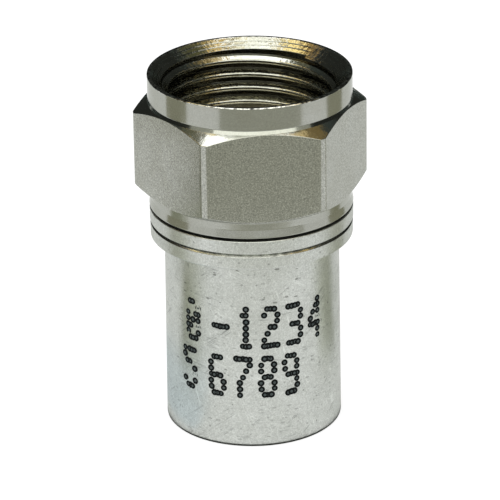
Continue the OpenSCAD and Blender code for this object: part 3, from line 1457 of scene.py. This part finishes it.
@dataclass
class Studio:
    """Pale floor, soft lamps, grey cards and the camera."""

    eye_turn: float = -7.07
    eye_rise: float = 23.63
    eye_distance: float = 200.379
    aim_z: float = 9.6003
    aim_shift: float = -0.1148
    roll: float = -0.828
    lens: float = 264.19
    sensor_w: float = 36.0
    clip: tuple[float, float] = (0.005, 10.0)
    lamp_aim_z: float = 15.0
    soft_light: float = 0.6
    floor_half: float = 1500.0
    floor_z: float = -0.01
    floor_grey: float = 0.35
    floor_glow: float = 0.80
    card_rows: int = 10
    card_columns: int = 40

    def _towards(self, turn: float, rise: float) -> Vector:
        """Direction from the connector to a place of the stage.

        Args:
            turn: The place's bearing from the camera's, in degrees.
            rise: Its height angle, in degrees.

        Returns:
            The direction, of length 1.
        """
        t = math.radians(turn + self.eye_turn)
        e = math.radians(rise)
        return Vector((math.sin(t) * math.cos(e), -math.cos(t) * math.cos(e), math.sin(e)))

    def camera(self) -> None:
        """Places the camera."""
        data = bpy.data.cameras.new("camera")
        data.lens = self.lens
        data.sensor_width = self.sensor_w
        data.clip_start, data.clip_end = self.clip
        turn = math.radians(self.eye_turn)
        right = Vector((math.cos(turn), math.sin(turn), 0.0))
        back = self._towards(0.0, self.eye_rise)
        aim = Vector((0.0, 0.0, self.aim_z)) + right * self.aim_shift
        place = Matrix.Translation((aim + back * self.eye_distance) * MM)
        axes = Matrix((right, back.cross(right), back)).transposed().to_4x4()
        camera = new_piece("camera", data)
        camera.matrix_world = place @ axes @ Matrix.Rotation(math.radians(self.roll), 4, "Z")
        bpy.context.scene.camera = camera

    def _seen(self, graph: NodeGraph) -> Socket:
        """Value that is 1 for every kind of ray in Ray and 0 for others.

        Args:
            graph: The graph that the nodes go into.

        Returns:
            The value's socket.
        """
        path = graph.add("ShaderNodeLightPath")
        value: object = 0.0
        for ray in Ray:
            value = graph.math("MAXIMUM", value, path.outputs[ray.value])
        return value

    def world(self) -> None:
        """White world for the camera and for reflections, softer light for the rest."""
        world = bpy.data.worlds.new("studio_world")
        bpy.context.scene.world = world
        world.use_nodes = True
        world.node_tree.nodes.clear()
        graph = NodeGraph(world.node_tree)
        lights = []
        for strength in (self.soft_light, 1.0):
            feeds = {"Color": (1.0, 1.0, 1.0), "Strength": strength}
            lights.append(graph.add("ShaderNodeBackground", feeds).outputs[0])
        mixed = graph.add("ShaderNodeMixShader", {0: self._seen(graph), 1: lights[0], 2: lights[1]})
        graph.add("ShaderNodeOutputWorld", {"Surface": mixed.outputs[0]})

    def floor(self) -> None:
        """Pale floor that shows white and keeps the connector's soft shadow."""
        half = self.floor_half * MM
        z = self.floor_z * MM
        mesh = bpy.data.meshes.new("floor")
        verts = [(-half, -half, z), (half, -half, z), (half, half, z), (-half, half, z)]
        mesh.from_pydata(verts, [], [(0, 1, 2, 3)])
        graph = MaterialGraph("floor_white")
        paper = graph.add("ShaderNodeBsdfDiffuse", {"Color": (self.floor_grey,) * 3})
        strength = graph.times(self._seen(graph), self.floor_glow)
        glow = graph.add("ShaderNodeEmission", {"Strength": strength})
        feeds = {0: paper.outputs[0], 1: glow.outputs[0]}
        mesh.materials.append(graph.close("ShaderNodeAddShader", feeds))
        floor = new_piece("floor", mesh)

    def card(self, card: Card) -> None:
        """Puts up one card.

        Args:
            card: The card's place and tone.
        """
        rows = self.card_rows
        verts = []
        faces = []
        for i in range(self.card_columns + 1):
            for k in range(rows + 1):
                up = k / rows
                start, end = card.turns_at(up)
                turn = math.radians(start + (end - start) * i / self.card_columns + self.eye_turn)
                r, z = card.spot(card.low + (card.high - card.low) * up)
                verts.append((r * MM * math.sin(turn), -r * MM * math.cos(turn), z * MM))
        for i in range(self.card_columns):
            for k in range(rows):
                a = i * (rows + 1) + k
                faces.append((a, a + rows + 1, a + rows + 2, a + 1))
        mesh = bpy.data.meshes.new(card.name)
        mesh.from_pydata(verts, [], faces)
        feeds = {"Color": card.tone, "Strength": 1.0}
        mesh.materials.append(MaterialGraph(card.name).close("ShaderNodeEmission", feeds))
        piece = new_piece(card.name, mesh)
        piece.visible_camera = False
        piece.visible_diffuse = False
        piece.visible_shadow = False

    def lamp(
        self, name: str, turn: float, rise: float, distance: float, size: float, power: float
    ) -> None:
        """Hangs one soft square lamp that shines at the connector.

        Args:
            name: Name of the lamp.
            turn: Its bearing from the camera's, in degrees.
            rise: Its height angle, in degrees.
            distance: Its distance in millimetres.
            size: Its side in millimetres.
            power: Its power in watts.
        """
        data = bpy.data.lights.new(name, "AREA")
        data.size = size * MM
        data.energy = power
        back = self._towards(turn, rise)
        place = Matrix.Translation((Vector((0.0, 0.0, self.lamp_aim_z)) + back * distance) * MM)
        new_piece(name, data).matrix_world = place @ back.to_track_quat("Z", "Y").to_matrix().to_4x4()

    def cards(self) -> list[Card]:
        """Lists the cards: on the floor for upright walls, standing ones for chamfers and the mouth.

        Returns:
            The cards.
        """
        black: Colour = (0.035, 0.038, 0.034)
        dusk: Colour = (0.060, 0.075, 0.070)
        cool: Colour = (0.90, 0.98, 1.04)
        grey: Colour = (0.62, 0.62, 0.54)
        pale: Colour = (0.86, 0.86, 0.80)
        olive: Colour = (0.50, 0.49, 0.38)
        pale_olive: Colour = (0.60, 0.62, 0.50)
        ring_olive: Colour = (0.42, 0.42, 0.30)
        ring_pale: Colour = (0.70, 0.71, 0.60)
        flat_olive: Colour = (0.27, 0.27, 0.20)
        left_olive: Colour = (0.20, 0.21, 0.10)
        right_olive: Colour = (0.28, 0.30, 0.20)
        bright: Colour = (2.40, 2.40, 2.25)
        return [
            FloorCard("floor_front_edge", (-18.0, 34.0), 31.5, 50.0, pale, (-42.0, 64.0)),
            FloorCard("floor_front_near", (-7.0, 21.0), 33.5, 50.0, grey, (-33.0, 56.0), lift=0.03),
            FloorCard("floor_front_far", (-33.0, 56.0), 50.0, 400.0, grey, (-40.0, 60.0)),
            FloorCard("floor_left_cool", (-150.0, -50.0), 5.6, 13.0, cool, (-150.0, -50.0)),
            FloorCard("floor_left_near", (-94.0, -82.0), 13.0, 28.0, left_olive, (-98.0, -84.0)),
            FloorCard("floor_left_pale", (-82.0, -62.0), 13.0, 28.0, pale_olive, (-84.0, -67.0)),
            FloorCard("floor_left_ring", (-98.0, -86.0), 28.0, 33.5, ring_olive, (-99.0, -88.0)),
            FloorCard("floor_left_ring_pale", (-86.0, -68.0), 28.0, 33.5, ring_pale, (-88.0, -70.0)),
            FloorCard("floor_left_skirt", (-98.0, -72.0), 33.5, 36.7, pale_olive, (-98.0, -74.0)),
            FloorCard("floor_left_flat", (-98.0, -80.0), 36.7, 48.5, flat_olive, (-98.0, -80.0)),
            FloorCard("floor_left_end", (-103.0, -72.0), 48.5, 400.0, olive, (-105.0, -72.0)),
            FloorCard("floor_right_pale", (82.0, 98.0), 13.0, 28.0, pale_olive, (85.0, 101.0)),
            FloorCard("floor_right_near", (98.0, 114.0), 13.0, 28.0, right_olive, (101.0, 118.0)),
            FloorCard("floor_right_ring_pale", (85.0, 98.0), 28.0, 33.5, ring_pale, (88.0, 100.0)),
            FloorCard("floor_right_ring", (98.0, 117.0), 28.0, 33.5, ring_olive, (100.0, 114.0)),
            FloorCard("floor_right_far", (94.0, 112.0), 33.5, 53.0, olive, (91.0, 120.0)),
            FloorCard("floor_right_end", (91.0, 120.0), 53.0, 400.0, olive, (91.0, 122.0)),
            FloorCard("floor_back", (118.0, 240.0), 70.0, 400.0, dusk, (118.0, 240.0)),
            # Painted shade: a black card under the sleeve's rear edge, seen only in reflections, stands
            # in for the contact shadow.
            FloorCard("floor_contact_painted_shade", (0.0, 360.0), 4.0, 5.05, black, (0.0, 360.0)),
            Card("wall_front", (-70.0, 70.0), 2.0, 16.0, grey),
            Card("wall_front_left", (-70.0, -42.0), 16.0, 42.0, grey),
            Card("wall_front_light", (-42.0, 52.0), 16.0, 42.0, bright),
            Card("wall_front_right", (52.0, 70.0), 16.0, 42.0, grey),
            Card("wall_low_left", (-180.0, -70.0), 0.0, 8.0, dusk),
            Card("wall_low_right", (70.0, 180.0), 0.0, 8.0, dusk),
            Card("wall_left", (-180.0, -70.0), 8.0, 42.0, black),
            Card("wall_right", (70.0, 180.0), 8.0, 42.0, black),
            Card("high_front", (-50.0, 50.0), 43.0, 60.0, bright),
            Card("high_front_dim", (-50.0, 50.0), 60.0, 69.0, (0.42, 0.42, 0.38)),
            Card("high_front_top", (-50.0, 15.0), 69.0, 78.0, (2.20, 2.20, 2.05)),
            Card("high_top", (-180.0, 180.0), 78.0, 90.0, bright),
            Card("high_left_light", (-74.0, -50.0), 43.0, 70.0, (1.55, 1.38, 0.90)),
            Card("high_left_gap", (-81.0, -74.0), 43.0, 70.0, (0.16, 0.15, 0.09)),
            Card("high_left_gold", (-98.0, -81.0), 46.0, 70.0, (3.20, 2.50, 1.10)),
            Card("high_left_brown", (-114.0, -98.0), 43.0, 60.0, (0.60, 0.38, 0.13)),
            Card("high_left_dusk", (-180.0, -114.0), 54.0, 67.0, (0.20, 0.20, 0.13)),
            Card("high_left_dark", (-180.0, -114.0), 36.0, 54.0, dusk),
            Card("high_right_warm", (15.0, 45.0), 69.0, 78.0, (1.60, 1.40, 0.85)),
            Card("high_right_shade", (45.0, 60.0), 60.0, 75.0, (0.25, 0.22, 0.12)),
            Card("high_right_gold", (60.0, 82.0), 43.0, 72.0, (2.00, 1.40, 0.50)),
            Card("high_right_olive", (82.0, 114.0), 43.0, 66.0, (0.15, 0.15, 0.075)),
            Card("high_right_brown", (114.0, 150.0), 52.0, 62.0, (0.30, 0.22, 0.09)),
            Card("high_right_amber", (114.0, 150.0), 62.0, 72.0, (1.15, 0.90, 0.46)),
            Card("high_right_dark", (114.0, 180.0), 36.0, 52.0, dusk),
        ]

    def build(self) -> None:
        """Sets the whole stage."""
        self.camera()
        self.world()
        self.floor()
        for card in self.cards():
            self.card(card)
        self.lamp("lamp_top", turn=0.0, rise=89.0, distance=300.0, size=218.0, power=0.32)
        self.lamp("lamp_key", turn=-35.0, rise=45.0, distance=420.0, size=160.0, power=0.30)
        bpy.context.scene.view_settings.view_transform = "Standard"


def main() -> None:
    """Builds the connector and its stage."""
    logging.basicConfig(level=logging.INFO, format="%(name)s: %(message)s")
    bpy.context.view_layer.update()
    Studio().build()
    log.info("stage: camera, floor, cards and lamps")
    finishes = Finishes()
    sleeve = CrimpSleeve.from_frame()
    hub = Hub.from_frame(sleeve)
    nut = CouplingNut.from_frame()
    pieces = [
        sleeve.build(finishes),
        hub.build(finishes),
        Post.from_frame(hub).build(finishes),
        NutSeal.from_frame().build(finishes),
        nut.build(finishes),
        NutThread(nut).build(finishes),
        *BarrelPrint(sleeve).build(finishes),
    ]
    for piece in pieces:
        log.info("%s: %d faces", piece.name, len(piece.data.polygons))


if __name__ == "__main__":
    main()
